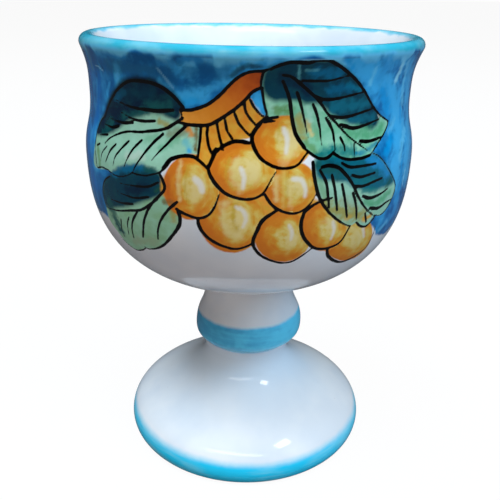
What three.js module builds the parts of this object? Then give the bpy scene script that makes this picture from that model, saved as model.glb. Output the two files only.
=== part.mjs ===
// Pottery goblet: a thrown bowl, a hollow knopped stem and a bell foot, luted together with two clay rings.
// Millimetres, +Z up. The origin is the centre of the foot, on the surface that the goblet stands on.

import * as THREE from "three";

// Heights of the pieces, stacked from the table up
const footHeight = 30.5;
const lowerRingHeight = 1;
const stemHeight = 27.5;
const upperRingHeight = 2;
const bowlHeight = 79;

// Bowl, with heights measured from its seat on the upper ring
const bowlWall = 4.6;
const bowlFloor = 6;
const bowlSeatRadius = 17;
const bellyRadius = 52;
const bellyHeight = 43;
const bellyFullness = 2.55; // exponent of the lower wall's curve: 2 is an ellipse, more is squarer
const waistRadius = 49.5;
const waistHeight = 62;
const rimRadius = 52.25;
const lipFlare = THREE.MathUtils.degToRad(24); // how far the lip leans out from upright
const lipEase = 0.4;

// Stem, with heights measured from its lower end
const upperNeckRadius = 15.2;
const lowerNeckRadius = 15;
const knopRadius = 19.1;
const knopHeight = 8.2;
const boreRadius = 9;
const knopBoreRadius = 13;
const neckTightness = 0.7; // handle shares of the curves below and above the knop
const shoulderEase = 0.4;

// Bell foot
const footRadius = 43;
const footEdgeHeight = 4;
const footRingRadius = 40;
const footRingWidth = 4.5;
const footHollowHeight = 27; // where the hollow has closed in to the stem's bore
const bellEase = 0.42; // handle share of the bell's curve, outside and inside

// Facets
const turns = 48;
const longCurveSteps = 12;
const curveSteps = 7;
const roundSteps = 6;

const whiteGlaze = new THREE.MeshStandardMaterial({ color: 0xeef2f5, roughness: 0.12, metalness: 0 });
const blueGlaze = new THREE.MeshStandardMaterial({ color: 0x2b83bf, roughness: 0.12, metalness: 0 });
const jointGlaze = new THREE.MeshStandardMaterial({ color: 0xdde2e8, roughness: 0.15, metalness: 0 });

const at = (radius, height) => new THREE.Vector2(radius, height);
const sample = (curve, steps) => curve.getPoints(steps);

// A wall that leaves the belly upright and turns in under the bowl, from startAngle to endAngle.
// Angle 0 is at the belly and a quarter turn is at the axis.
class BellyCurve extends THREE.Curve {
  constructor(radius, depth, startAngle, endAngle) {
    super();
    Object.assign(this, { radius, depth, startAngle, endAngle });
  }

  getPoint(share, target = new THREE.Vector2()) {
    const angle = THREE.MathUtils.lerp(this.startAngle, this.endAngle, share);
    const power = 2 / bellyFullness;
    const reach = Math.max(Math.cos(angle), 0) ** power;
    const drop = Math.max(Math.sin(angle), 0) ** power;
    return target.set(this.radius * reach, bellyHeight - this.depth * drop);
  }
}

// A smooth curve between two points that leaves the first upright and reaches the second at a lean
// from upright. Its handles are a share of the rise between the points.
function swell(from, to, handle = 0.5, lean = 0) {
  const reach = handle * (to.y - from.y);
  const leave = at(from.x, from.y + reach);
  const arrive = at(to.x - reach * Math.tan(lean), to.y - reach);
  return new THREE.CubicBezierCurve(from, leave, arrive, to);
}

// Turns an outline, which runs anticlockwise round the section, about the upright axis.
function turned(name, outline, material) {
  const mesh = new THREE.Mesh(new THREE.LatheGeometry(outline, turns), material);
  mesh.name = name;
  mesh.rotation.x = Math.PI / 2;
  return mesh;
}

// The wall from the belly up to the lip, on the outside or at a depth inside it.
function upperWall(inset, lipPoint) {
  const belly = at(bellyRadius - inset, bellyHeight);
  const waist = at(waistRadius - inset, waistHeight);
  return [swell(belly, waist), swell(waist, lipPoint, lipEase, lipFlare)];
}

function bowl() {
  const lipRound = bowlWall / 2;
  const lipCentre = at(rimRadius - lipRound, bowlHeight - lipRound);
  const lip = new THREE.EllipseCurve(
    lipCentre.x, lipCentre.y, lipRound, lipRound, -lipFlare, Math.PI - lipFlare,
  );

  const seatShare = bowlSeatRadius / bellyRadius;
  const outerDepth = bellyHeight / (1 - seatShare ** bellyFullness) ** (1 / bellyFullness);
  const seatAngle = Math.acos(seatShare ** (bellyFullness / 2));
  const underside = new BellyCurve(bellyRadius, outerDepth, seatAngle, 0);
  const innerBelly = bellyRadius - bowlWall;
  const floor = new BellyCurve(innerBelly, bellyHeight - bowlFloor, 0, Math.PI / 2);

  const outside = upperWall(0, lip.getPoint(0));
  const inside = upperWall(bowlWall, lip.getPoint(1));
  return turned("bowl", [
    at(0, 0),
    ...sample(underside, longCurveSteps),
    ...sample(outside[0], curveSteps).slice(1),
    ...sample(outside[1], curveSteps).slice(1),
    ...sample(lip, roundSteps).slice(1),
    ...sample(inside[1], curveSteps).reverse().slice(1),
    ...sample(inside[0], curveSteps).reverse().slice(1),
    ...sample(floor, longCurveSteps).slice(1),
  ], blueGlaze);
}

// A coil of soft clay pressed into the corner under the bowl and smoothed to a cove.
function upperLutingRing() {
  const coveDepth = bowlSeatRadius - upperNeckRadius;
  const cove = new THREE.EllipseCurve(
    bowlSeatRadius, 0, coveDepth, upperRingHeight, Math.PI, Math.PI / 2, true,
  );
  const outline = [at(boreRadius, 0), ...sample(cove, roundSteps), at(boreRadius, upperRingHeight)];
  return turned("upper_luting_ring", [...outline, outline[0]], jointGlaze);
}

function knoppedStem() {
  const outerLower = swell(at(lowerNeckRadius, 0), at(knopRadius, knopHeight), neckTightness);
  const outerUpper = swell(at(knopRadius, knopHeight), at(upperNeckRadius, stemHeight), shoulderEase);
  const boreLower = swell(at(boreRadius, 0), at(knopBoreRadius, knopHeight));
  const boreUpper = swell(at(knopBoreRadius, knopHeight), at(boreRadius, stemHeight));
  const outline = [
    ...sample(outerLower, curveSteps),
    ...sample(outerUpper, longCurveSteps).slice(1),
    ...sample(boreUpper, curveSteps).reverse(),
    ...sample(boreLower, curveSteps).reverse().slice(1),
  ];
  return turned("knopped_stem", [...outline, outline[0]], whiteGlaze);
}

// The slip that bonds the stem to the foot, wiped flush with both necks.
function lowerLutingRing() {
  const outline = [
    at(boreRadius, 0),
    at(lowerNeckRadius, 0),
    at(lowerNeckRadius, lowerRingHeight),
    at(boreRadius, lowerRingHeight),
  ];
  return turned("lower_luting_ring", [...outline, outline[0]], jointGlaze);
}

function bellFoot() {
  const edgeDepth = footRadius - footRingRadius;
  const edge = new THREE.EllipseCurve(
    footRingRadius, footEdgeHeight, edgeDepth, footEdgeHeight, -Math.PI / 2, 0,
  );
  const bell = swell(at(footRadius, footEdgeHeight), at(lowerNeckRadius, footHeight), bellEase);
  const ringInner = footRingRadius - footRingWidth;
  const hollow = swell(at(ringInner, 0), at(boreRadius, footHollowHeight), bellEase);
  const outline = [
    at(ringInner, 0),
    ...sample(edge, roundSteps),
    ...sample(bell, longCurveSteps).slice(1),
    at(boreRadius, footHeight),
    ...sample(hollow, longCurveSteps).reverse(),
  ];
  return turned("bell_foot", outline, whiteGlaze);
}

const goblet = new THREE.Group();
const stack = [
  [bellFoot(), footHeight],
  [lowerLutingRing(), lowerRingHeight],
  [knoppedStem(), stemHeight],
  [upperLutingRing(), upperRingHeight],
  [bowl(), bowlHeight],
];
let level = 0;
for (const [piece, height] of stack) {
  piece.position.z = level;
  goblet.add(piece);
  level += height;
}

export default goblet;
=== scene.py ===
import math
import bmesh
import bpy
import numpy as np
from mathutils import Matrix, Vector
from mathutils.bvhtree import BVHTree
from mathutils.geometry import interpolate_bezier


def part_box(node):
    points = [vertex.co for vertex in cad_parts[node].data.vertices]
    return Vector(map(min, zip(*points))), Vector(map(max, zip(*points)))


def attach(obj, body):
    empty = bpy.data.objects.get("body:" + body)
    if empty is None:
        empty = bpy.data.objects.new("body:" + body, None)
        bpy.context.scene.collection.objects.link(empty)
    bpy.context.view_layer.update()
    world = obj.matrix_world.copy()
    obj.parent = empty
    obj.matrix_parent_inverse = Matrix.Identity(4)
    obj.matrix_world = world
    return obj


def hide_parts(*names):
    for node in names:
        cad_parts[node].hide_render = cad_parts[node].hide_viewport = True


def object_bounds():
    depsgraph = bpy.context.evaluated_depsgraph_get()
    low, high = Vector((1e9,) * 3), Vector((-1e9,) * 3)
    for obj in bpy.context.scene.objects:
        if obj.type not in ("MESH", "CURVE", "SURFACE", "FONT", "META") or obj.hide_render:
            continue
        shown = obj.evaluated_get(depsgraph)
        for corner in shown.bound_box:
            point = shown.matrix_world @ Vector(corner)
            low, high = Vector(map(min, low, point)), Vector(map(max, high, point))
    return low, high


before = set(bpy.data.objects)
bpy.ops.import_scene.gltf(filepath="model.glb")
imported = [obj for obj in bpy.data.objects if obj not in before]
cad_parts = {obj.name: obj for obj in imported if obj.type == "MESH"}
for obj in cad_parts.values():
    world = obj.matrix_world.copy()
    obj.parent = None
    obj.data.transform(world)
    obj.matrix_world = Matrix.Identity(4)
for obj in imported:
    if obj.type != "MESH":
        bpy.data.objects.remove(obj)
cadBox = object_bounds()
mm = 0.001
print("frame loaded:", ", ".join(sorted(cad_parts)))


# Camera at the photograph's viewing angle
cameraView = {
    "place": (0.0, -0.200, 0.1504),  # metres
    "pitch": 22.66,  # degrees down from level
    "yaw": -0.25,
    "roll": 1.0,
    "lens": 44.22,  # mm
    "sensor": 36.0,  # mm
    "nearest": 0.01,  # metres, where the view starts
    "pixels": 500,  # the photograph is square
}


def addCamera(view):
    data = bpy.data.cameras.new("photoCamera")
    data.lens = view["lens"]
    data.sensor_width = view["sensor"]
    data.clip_start = view["nearest"]
    camera = bpy.data.objects.new("photoCamera", data)
    aim = Matrix.Rotation(math.radians(view["yaw"]), 4, "Z")
    aim = aim @ Matrix.Rotation(math.radians(90 - view["pitch"]), 4, "X")
    aim = aim @ Matrix.Rotation(math.radians(view["roll"]), 4, "Z")
    camera.matrix_world = Matrix.Translation(view["place"]) @ aim
    bpy.context.scene.collection.objects.link(camera)
    bpy.context.scene.camera = camera
    return camera


camera = addCamera(cameraView)


# Direction in which the camera sees a pixel of the photograph
def sightLine(x, y):
    half = cameraView["pixels"] / 2
    across = Vector((x - half, half - y, 0)) / cameraView["pixels"]
    across.z = -cameraView["lens"] / cameraView["sensor"]
    return camera.matrix_world.to_3x3() @ across


# A socket of a material's nodes: sums and products of wires add Math nodes
class Wire:
    def __init__(self, tree, socket=None):
        self.tree = tree
        self.socket = socket

    def node(self, kind, settings=None, sockets=None, output=0):
        made = self.tree.nodes.new("ShaderNode" + kind)
        for name, value in (settings or {}).items():
            if name == "stops":
                fillRamp(made.color_ramp, value)
            else:
                setattr(made, name, value)
        for key, value in (sockets or {}).items():
            if isinstance(value, Wire):
                self.tree.links.new(value.socket, made.inputs[key])
            else:
                made.inputs[key].default_value = value
        return Wire(self.tree, made.outputs[output] if made.outputs else None)

    def math(self, operation, *terms):
        return self.node("Math", {"operation": operation}, dict(enumerate(terms)))

    def __add__(self, other):
        return self.math("ADD", self, other)

    __radd__ = __add__

    def __sub__(self, other):
        return self.math("SUBTRACT", self, other)

    def __rsub__(self, other):
        return self.math("SUBTRACT", other, self)

    def __mul__(self, other):
        return self.math("MULTIPLY", self, other)

    __rmul__ = __mul__

    def __truediv__(self, other):
        return self.math("DIVIDE", self, other)

    def greater(self, other):
        return self.math("MAXIMUM", self, other)

    def lesser(self, other):
        return self.math("MINIMUM", self, other)

    # 0 below low and 1 above high, with a smooth change between them
    def step(self, low, high):
        ends = {"Value": self, "From Min": low, "From Max": high}
        return self.node("MapRange", {"interpolation_type": "SMOOTHSTEP"}, ends)

    def root(self):
        return self.math("SQRT", self)

    def absolute(self):
        return self.math("ABSOLUTE", self)

    # this wire is the share of the colour on top; 6, 7 and output 2 are the node's colour sockets
    def mix(self, under, over):
        return self.node("Mix", {"data_type": "RGBA"}, {0: self, 6: under, 7: over}, output=2)

    def ramp(self, stops):
        return self.node("ValToRGB", {"stops": stops}, {0: self})


def fillRamp(ramp, stops):
    while len(ramp.elements) < len(stops):
        ramp.elements.new(0.5)
    for element, (place, colour) in zip(ramp.elements, stops):
        element.position = place
        element.color = colour


# A written colour such as 2B83BF, as the linear values that sockets take
def paint(code):
    parts = [int(code[i:i + 2], 16) / 255 for i in (0, 2, 4)]
    return (*[p / 12.92 if p <= 0.04045 else ((p + 0.055) / 1.055) ** 2.4 for p in parts], 1.0)


def newMaterial(name):
    material = bpy.data.materials.new(name)
    material.use_nodes = True
    material.node_tree.nodes.clear()
    return material, Wire(material.node_tree)


def objectPlace(wire):
    return wire.node("TexCoord", output="Object")


# How far right of the axis and how high above the table, in mm
def sideAndHeight(wire):
    place = objectPlace(wire)
    return [wire.node("SeparateXYZ", None, {0: place}, output=axis) / mm for axis in ("X", "Z")]


# Cloudy noise from 0 to 1: size is the width of its blots in mm, stretch squeezes it along each axis
def cloud(wire, size, detail=2.0, stretch=(1, 1, 1), shift=0.0):
    scale = [squeeze / (size * mm) for squeeze in stretch]
    sockets = {"Vector": objectPlace(wire), "Location": (shift, shift, shift), "Scale": scale}
    spot = wire.node("Mapping", None, sockets)
    return wire.node("TexNoise", None, {"Vector": spot, "Scale": 1.0, "Detail": detail})


# Short overlapping brush dabs, each with a tone of its own from 0 to 1
def dabs(wire, width, height):
    scale = (1 / (width * mm), 1 / (width * mm), 1 / (height * mm))
    spot = wire.node("Mapping", None, {"Vector": objectPlace(wire), "Scale": scale})
    drift = wire.node("TexNoise", None, {"Vector": spot, "Scale": 0.7, "Detail": 3.0}, output="Color")
    spot = wire.node("VectorMath", {"operation": "ADD"}, {0: spot, 1: drift})
    sockets = {"Vector": spot, "Scale": 1.0, "Smoothness": 0.6}
    dab = wire.node("TexVoronoi", {"feature": "SMOOTH_F1"}, sockets, output="Color")
    return wire.node("SeparateColor", None, {0: dab})


# A value that was stored on the mesh
def attribute(wire, name, output="Fac"):
    return wire.node("Attribute", {"attribute_name": name}, output=output)


def vectorParts(wire, name):
    vector = attribute(wire, name, "Vector")
    return [wire.node("SeparateXYZ", None, {0: vector}, output=i) for i in range(3)]


# White tin glaze over clay, shared by all the pieces
whiteGlaze = {
    "white": "F1F3F4",
    "cool": "E2E8EE",  # where the glaze lies thick
    "cloudSize": 22,  # mm
    "speck": "8A7C6C",
    "speckSize": 2.6,  # mm between the pin-sized specks
    "speckShare": 0.6,
    "paintedNeckShade": "E2F0FB",  # painted shade: bluish grey round the lower neck, under the bowl
    "paintedNeckShadeSpan": (13, 27, 33, 37),  # mm above the table where the painted shade starts, is full, fades and ends
    "roughness": 0.06,
    "roughSpread": 0.05,  # how much rougher it is in patches
    "roughSize": 9,  # mm
    "rippleSize": 17,  # mm
    "rippleDepth": 0.25,  # mm
    "rippleStrength": 0.35,
}


def whiteGlazeColour(wire):
    thick = cloud(wire, whiteGlaze["cloudSize"], 3).step(0.35, 0.7)
    colour = thick.mix(paint(whiteGlaze["white"]), paint(whiteGlaze["cool"]))
    spot = wire.node("VectorMath", {"operation": "SCALE"}, {0: objectPlace(wire), "Scale": 1 / mm})
    grain = wire.node("TexVoronoi", None, {"Vector": spot, "Scale": 1 / whiteGlaze["speckSize"]})
    rare = cloud(wire, 5, 0, shift=7).step(0.66, 0.7)
    speck = (1 - grain.step(0.03, 0.06)) * rare * whiteGlaze["speckShare"]
    return speck.mix(colour, paint(whiteGlaze["speck"]))


# White glaze with a painted shade round the lower neck, where the bowl above shades the stem and foot
def neckShadedGlazeColour(wire, height):
    start, full, thinning, end = whiteGlaze["paintedNeckShadeSpan"]
    neckShade = height.step(start, full) * (1 - height.step(thinning, end))
    return neckShade.mix(whiteGlazeColour(wire), paint(whiteGlaze["paintedNeckShade"]))


def glossyGlaze(wire, colour, roughness=None, relief=None):
    look = whiteGlaze
    height = cloud(wire, look["rippleSize"], 1.5)
    if relief is not None:
        height = height + relief
    depth = look["rippleDepth"] * mm
    ripple = {"Strength": look["rippleStrength"], "Distance": depth, "Height": height}
    bump = wire.node("Bump", None, ripple)
    rough = look["roughness"] + cloud(wire, look["roughSize"], shift=3) * look["roughSpread"]
    if roughness is not None:
        rough = rough + roughness
    sockets = {"Base Color": colour, "Roughness": rough, "Normal": bump, "IOR": 1.5}
    surface = wire.node("BsdfPrincipled", None, sockets)
    wire.node("OutputMaterial", None, {"Surface": surface})


# A curve that leaves start upright and reaches end at a lean from upright, both (radius, height).
# Its handles are shares of the rise, the second for the end where it differs
def rise(start, end, handle=0.5, lean=0.0, endHandle=None, steps=60):
    reach = handle * (end[1] - start[1])
    endReach = (endHandle or handle) * (end[1] - start[1])
    leave = (start[0], start[1] + reach)
    arrive = (end[0] - endReach * math.tan(lean), end[1] - endReach)
    knots = [Vector((*p, 0)) for p in (start, leave, arrive, end)]
    return [(p.x, p.y) for p in interpolate_bezier(*knots, steps + 1)]


def arc(centre, radii, first, last, steps=24):
    angles = np.linspace(first, last, steps + 1)
    return [(centre[0] + radii[0] * math.cos(a), centre[1] + radii[1] * math.sin(a)) for a in angles]


# The same line with its points at an even spacing
def evenly(line, spacing):
    spots = np.array(line)
    run = np.concatenate([[0], np.cumsum(np.linalg.norm(np.diff(spots, axis=0), axis=1))])
    count = max(1, round(run[-1] / spacing))
    marks = np.linspace(0, run[-1], count + 1)
    return list(zip(np.interp(marks, run, spots[:, 0]), np.interp(marks, run, spots[:, 1])))


# Joins lines end to end and leaves out the points that they share
def joinLines(*lines):
    joined = []
    for line in lines:
        joined += [p for p in line if not joined or math.dist(p, joined[-1]) > 1e-4]
    return joined


# Turns an outline of (radius, height) in mm about the upright axis. Arcs are (first, last, wedges,
# steps), in degrees from the front. A wedge is spun once and set beside itself, which is quicker
# than one long spin. The run along the outline is kept on each vertex
def turnOutline(outline, arcs, closed):
    shape = bmesh.new()
    spare = bpy.data.meshes.new("spareWedge")
    for first, last, wedges, steps in arcs:
        width = math.radians(last - first) / wedges
        wedge = spinWedge(outline, closed, math.radians(first), width, steps)
        onward = Matrix.Rotation(width, 3, "Z")
        for i in range(wedges):
            wedge.to_mesh(spare)
            shape.from_mesh(spare)
            bmesh.ops.rotate(wedge, cent=(0, 0, 0), matrix=onward, verts=wedge.verts)
        wedge.free()
    bpy.data.meshes.remove(spare)
    bmesh.ops.remove_doubles(shape, verts=shape.verts, dist=1e-6)
    bmesh.ops.recalc_face_normals(shape, faces=shape.faces)
    return shape


# A whole ring, turned from a closed outline
def turnRing(outline, sizes):
    arcs = [(0, 360, sizes["wedges"], sizes["columns"] // sizes["wedges"])]
    return turnOutline(outline, arcs, closed=True)


def spinWedge(outline, closed, start, width, steps):
    wedge = bmesh.new()
    runLayer = wedge.verts.layers.float.new("run")
    run = 0
    verts = []
    across, along = math.sin(start), -math.cos(start)
    for i, (radius, height) in enumerate(outline):
        vert = wedge.verts.new((radius * across * mm, radius * along * mm, height * mm))
        run += math.dist(outline[i - 1], outline[i]) if i else 0
        vert[runLayer] = run
        verts.append(vert)
    edges = [wedge.edges.new(pair) for pair in zip(verts, verts[1:])]
    if closed:
        edges.append(wedge.edges.new((verts[-1], verts[0])))
    bmesh.ops.spin(wedge, geom=verts + edges, cent=(0, 0, 0), axis=(0, 0, 1), angle=width, steps=steps)
    return wedge


def addPiece(name, shape, node, material, sharpAngle=35):
    mesh = bpy.data.meshes.new(name)
    shape.to_mesh(mesh)
    shape.free()
    mesh.shade_smooth()
    mesh.set_sharp_from_angle(angle=math.radians(sharpAngle))
    piece = bpy.data.objects.new(name, mesh)
    bpy.context.scene.collection.objects.link(piece)
    mesh.materials.append(material)
    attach(piece, "root")
    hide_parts(node)
    mesh.calc_loop_triangles()
    print(name, "made,", len(mesh.loop_triangles), "triangles")
    return piece


# Heights at which a node starts and ends, in mm
def nodeSpan(node):
    low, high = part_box(node)
    return low.z / mm, high.z / mm


# The bowl: a deep belly, drawn in to a waist under a flared, rolled lip
bowlSizes = {
    "wall": 4.6,
    "floor": 6.0,
    "seatRadius": 17.0,
    "bellyRadius": 52.0,
    "bellyHeight": 43.0,  # from the seat, as the other heights here
    "fullness": 2.55,
    "waistRadius": 49.5,
    "waistHeight": 62.0,
    "lipLean": 24.0,  # degrees
    "lipEase": 0.4,
    "paintedFrom": 16.0,
    "paintedSpacing": 0.43,  # between rows and columns where there is painting
    "lipSpacing": 0.645,
    "plainSpacing": 1.1,
    "insideSpacing": 2.4,
    "rimDip": 0.8,  # the hand-thrown rim is lower at the front
    "rimDrift": 1.0,  # and drawn in at the left
    "frontArc": (-80, 80),  # degrees that the painting can reach
    "backColumns": 72,
    "wedges": 8,
}


bowlBase, bowlTop = nodeSpan("bowl")


# The outline from the seat's centre round the lip to the floor's centre, and the outside's share of it
def bowlOutline(sizes):
    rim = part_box("bowl")[1].x / mm
    wall = sizes["wall"]
    lean = math.radians(sizes["lipLean"])
    power = 2 / sizes["fullness"]
    belly = bowlBase + sizes["bellyHeight"]
    waist = bowlBase + sizes["waistHeight"]

    def lowerWall(radius, depth, first, last, steps=160):
        angles = np.linspace(first, last, steps + 1)
        reach = np.clip(np.cos(angles), 0, 1) ** power
        drop = np.clip(np.sin(angles), 0, 1) ** power
        return list(zip(radius * reach, belly - depth * drop))

    lip = arc((rim - wall / 2, bowlTop - wall / 2), (wall / 2, wall / 2), -lean, math.pi - lean)
    seatShare = sizes["seatRadius"] / sizes["bellyRadius"]
    outerDepth = sizes["bellyHeight"] / (1 - seatShare ** sizes["fullness"]) ** (1 / sizes["fullness"])
    seatAngle = math.acos(seatShare ** (sizes["fullness"] / 2))
    under = lowerWall(sizes["bellyRadius"], outerDepth, seatAngle, 0)
    innerDepth = sizes["bellyHeight"] - sizes["floor"]
    floor = lowerWall(sizes["bellyRadius"] - wall, innerDepth, 0, math.pi / 2)

    def upperWall(inset, lipPoint):
        bellyPoint = (sizes["bellyRadius"] - inset, belly)
        waistPoint = (sizes["waistRadius"] - inset, waist)
        flare = rise(waistPoint, lipPoint, sizes["lipEase"], lean)
        return joinLines(rise(bellyPoint, waistPoint), flare)

    outside = joinLines(under, upperWall(0, lip[0]))
    inside = joinLines(upperWall(wall, lip[-1])[::-1], floor)
    paintedFrom = bowlBase + sizes["paintedFrom"]
    plain = evenly([p for p in outside if p[1] <= paintedFrom], sizes["plainSpacing"])
    painted = evenly([plain[-1]] + [p for p in outside if p[1] > paintedFrom], sizes["paintedSpacing"])
    outer = joinLines([(0, bowlBase)], plain, painted)
    lip = evenly(lip, sizes["lipSpacing"])
    inside = evenly(inside, sizes["insideSpacing"])
    return joinLines(outer, lip, inside), outer


# How far the hand-thrown rim is from true at a place on the bowl, in mm to the right and down
def rimError(sizes, turn, height):
    waist = bowlBase + sizes["waistHeight"]
    share = min(max((height - waist) / (bowlTop - waist), 0), 1) ** 2
    drift = sizes["rimDrift"] * (1 - math.sin(turn)) / 2
    dip = sizes["rimDip"] * (1 + math.cos(turn)) / 2
    return drift * share, dip * share


def makeBowlShape(sizes, outline):
    first, last = sizes["frontArc"]
    frontWidth = math.radians(last - first) * sizes["bellyRadius"]
    frontSteps = round(frontWidth / sizes["paintedSpacing"] / sizes["wedges"])
    backSteps = round(sizes["backColumns"] / sizes["wedges"])
    arcs = [(first, last, sizes["wedges"], frontSteps), (last, first + 360, sizes["wedges"], backSteps)]
    shape = turnOutline(outline, arcs, closed=False)
    for vert in shape.verts:
        drift, dip = rimError(sizes, math.atan2(vert.co.x, -vert.co.y), vert.co.z / mm)
        vert.co += Vector((drift, 0, -dip)) * mm
    return shape


outline, outerLine = bowlOutline(bowlSizes)
bowlShape = makeBowlShape(bowlSizes, outline)
bowlTree = BVHTree.FromBMesh(bowlShape)
outerSpots = np.array(outerLine)[1:]
outerRun = bowlSizes["seatRadius"] + np.concatenate(
    [[0], np.cumsum(np.linalg.norm(np.diff(outerSpots, axis=0), axis=1))]
)
print("bowl turned, wall", round(outerRun[-1] - outerRun[0], 1), "mm from seat to lip")


# Where pixels of the photograph fall on the bowl's outside: the turn in radians from the front,
# and the run along the wall in mm
def ontoWall(points):
    eye = Vector(cameraView["place"])
    places = []
    for x, y in points:
        sight = sightLine(x, y).normalized()
        hit = bowlTree.ray_cast(eye, sight)[0] or bowlTree.find_nearest(eye + sight * -eye.y)[0]
        turn = math.atan2(hit.x, -hit.y)
        height = hit.z / mm + rimError(bowlSizes, turn, hit.z / mm)[1]
        places.append((turn, np.interp(height, outerSpots[:, 1], outerRun)))
    return np.array(places)


# Offsets in mm from a centre on the wall, which is close to flat over one brush stroke
def flatten(places, centre):
    radius = np.interp(centre[1], outerRun, outerSpots[:, 0])
    return (places - centre) * (radius, 1)


# A smooth line through given points
def brushLine(points, closed=False, steps=5):
    spots = np.array(points, float)
    before = spots[-1:] if closed else 2 * spots[:1] - spots[1:2]
    after = spots[:2] if closed else 2 * spots[-1:] - spots[-2:-1]
    spots = np.concatenate([before, spots, after])
    share = np.linspace(0, 1, steps, endpoint=False)[:, None]
    line = []
    for a, b, c, d in zip(spots, spots[1:], spots[2:], spots[3:]):
        bend = (2 * a - 5 * b + 4 * c - d) * share ** 2 + (3 * b - a - 3 * c + d) * share ** 3
        line.append(b + ((c - a) * share + bend) / 2)
    return np.concatenate(line + [spots[1:2] if closed else spots[-2:-1]])


# How far spots are from a line, and how far along it their nearest point is, from 0 to 1
def lineDistance(spots, line):
    starts = line[:-1]
    along = np.diff(line, axis=0)
    lengths = np.linalg.norm(along, axis=1)
    offset = spots[:, None] - starts
    share = np.clip((offset * along).sum(2) / np.maximum(lengths ** 2, 1e-9), 0, 1)
    gaps = np.linalg.norm(offset - share[..., None] * along, axis=2)
    nearest = gaps.argmin(1)
    rows = np.arange(len(spots))
    run = np.concatenate([[0], np.cumsum(lengths)])
    travelled = run[nearest] + share[rows, nearest] * lengths[nearest]
    return gaps[rows, nearest], travelled / run[-1]


# True for the spots that a closed line goes round
def insideLine(spots, line):
    a, b = line[:-1], line[1:]
    x, y = spots[:, :1], spots[:, 1:]
    spans = (a[:, 1] > y) != (b[:, 1] > y)
    climb = np.where(b[:, 1] == a[:, 1], 1e-9, b[:, 1] - a[:, 1])
    crossing = a[:, 0] + (y - a[:, 1]) / climb * (b[:, 0] - a[:, 0])
    return (spans & (x < crossing)).sum(1) % 2 == 1


farAway = 9.0  # mm, the distance given where a shape is out of reach


def nearLine(spots, line):
    return ((spots > line.min(0) - farAway) & (spots < line.max(0) + farAway)).all(1)


# Depth in mm inside a closed shape, below 0 outside it
def shapeField(places, points):
    line = ontoWall(brushLine(points, closed=True))
    centre = line.mean(0)
    line = flatten(line, centre)
    spots = flatten(places, centre)
    near = nearLine(spots, line)
    depth = np.full(len(places), -farAway)
    gap = lineDistance(spots[near], line)[0]
    depth[near] = np.maximum(np.where(insideLine(spots[near], line), gap, -gap), -farAway)
    return depth


# The places near a stroke, their gap to its middle in mm and how far along it they are
def alongStroke(places, points):
    line = ontoWall(brushLine(points))
    centre = line.mean(0)
    line = flatten(line, centre)
    spots = flatten(places, centre)
    near = nearLine(spots, line)
    return near, *lineDistance(spots[near], line)


# Gap in mm to the nearest brush stroke, below 0 in it. A stroke is (width, taper, points),
# and it thins towards its last point by its taper
def strokeField(places, strokes):
    field = np.full(len(places), farAway)
    for width, taper, points in strokes:
        near, gap, share = alongStroke(places, points)
        press = (1 - taper * share ** 1.5) * (0.8 + 0.2 * np.clip(share / 0.12, 0, 1))
        field[near] = np.minimum(field[near], gap - width / 2 * press)
    return field


# Offsets inside an ellipse of the photograph, in which its edge is at 1
def discOffsets(places, x, y, halfWidth, halfHeight):
    across, up = halfWidth / 2, halfHeight / 2
    halfway = ontoWall([(x + across, y), (x - across, y), (x, y - up), (x, y + up)])
    centre = ontoWall([(x, y)])[0]
    right, left, top, bottom = flatten(halfway, centre)
    axes = np.stack([right - left, top - bottom])
    return flatten(places, centre) @ np.linalg.inv(axes), np.sqrt(abs(np.linalg.det(axes)))


# The painter's palette
paints = {
    # blue ground and lip
    "navy": "005A96",
    "cobalt": "0078CC",
    "denim": "186694",
    "cerulean": "2A9EE2",
    "azure": "00A0E8",
    "sky": "42BCF8",
    "paleSky": "72D6FC",
    "foam": "A0EAFF",
    "slate": "3C86B2",
    "turquoise": "32B0CA",
    "glint": "9EDAE6",
    "soot": "0E3A48",
    # leaves
    "night": "00223C",
    "petrol": "003E52",
    "bottle": "145A5A",
    "pine": "205640",
    "teal": "006C94",
    "spruce": "0A6A80",
    "lagoon": "0086A8",
    "sea": "14807E",
    "jade": "58B07E",
    "fern": "669E5C",
    "leafGreen": "7CCCA2",
    "mint": "9CD2B4",
    "paleMint": "AAE2C8",
    "sage": "94C89C",
    "moss": "A2B892",
    "olive": "AAA85E",
    "khaki": "7A6E40",
    "glass": "6CC6CC",
    # fruit and stalk
    "cream": "F0DA90",
    "butter": "E8CA66",
    "mustard": "D4AE3A",
    "gold": "E6AA3C",
    "apricot": "F4A23C",
    "amber": "E68E28",
    "orange": "DE7C22",
    "rust": "D0601A",
    "bark": "B44814",
    "bare": "F2EEE6",
    "ink": "060404",
}


def mixed(name):
    return paint(paints[name])


# The painted bunch of grapes, in points given on the camera's view of 500 by 500.
# Strokes start at their thick end
grapes = [  # centre and half sizes, from the back of the bunch to the front
    (349, 237.5, 27, 26),
    (231.5, 222, 33.5, 33),
    (283.5, 238.5, 28.5, 25.5),
    (324.5, 228, 23.5, 24.5),
    (190, 188, 28, 33),
    (291, 187, 27, 26),
    (242, 171, 33, 29),
    (283, 140, 31, 28.5),
]
reservedShape = [  # left without blue, for the bunch and what is close to it
    (201, 127), (235, 112), (250, 101), (266, 119), (290, 118), (303, 147), (318, 160), (316, 185),
    (345, 224), (372, 226), (370, 250), (330, 268), (200, 256), (170, 222), (158, 210), (162, 172),
    (176, 157), (198, 156),
]
betweenShape = [  # thin wash that fills the gaps between the grapes
    (163, 176), (190, 170), (242, 160), (283, 140), (300, 160), (291, 187), (325, 205), (349, 237),
    (323, 240), (281, 245), (231, 235), (190, 205), (163, 196),
]
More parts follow.
